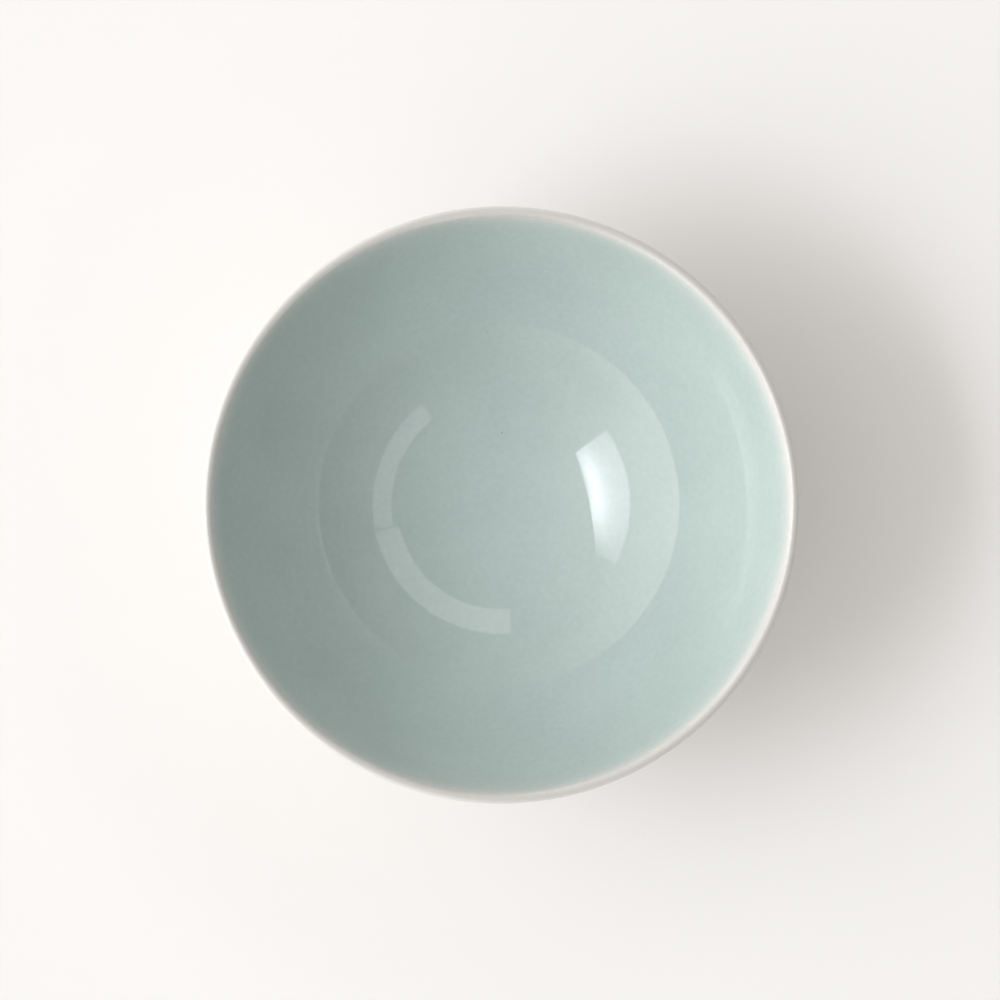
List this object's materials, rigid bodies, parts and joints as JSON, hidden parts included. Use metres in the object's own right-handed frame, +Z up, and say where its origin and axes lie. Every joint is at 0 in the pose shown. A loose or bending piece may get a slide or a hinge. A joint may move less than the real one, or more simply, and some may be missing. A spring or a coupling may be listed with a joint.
{
  "type": "rice bowl",
  "caption": "Small round footed porcelain bowl with a rounded lip, a deep rounded inside lined with celadon glaze, clear glaze outside and a bare foot ring.",
  "frame": {"origin": "centre of the foot ring, on the surface that the bowl stands on", "axes": "+Z up along the bowl's axis of revolution; +X and +Y are any two radial directions at right angles"},
  "size_m": [0.118, 0.118, 0.053],
  "materials": {
    "bare_porcelain": "matt, fine-grained, unglazed",
    "celadon_glaze": "glossy pale blue-green, fading to white at the lip",
    "clear_glaze": "glossy clear over white"
  },
  "bodies": {
    "root": {"porcelain_body": "bare_porcelain", "celadon_lining": "celadon_glaze", "clear_glaze": "clear_glaze", "foot_well_glaze": "clear_glaze"}
  },
  "joints": []
}
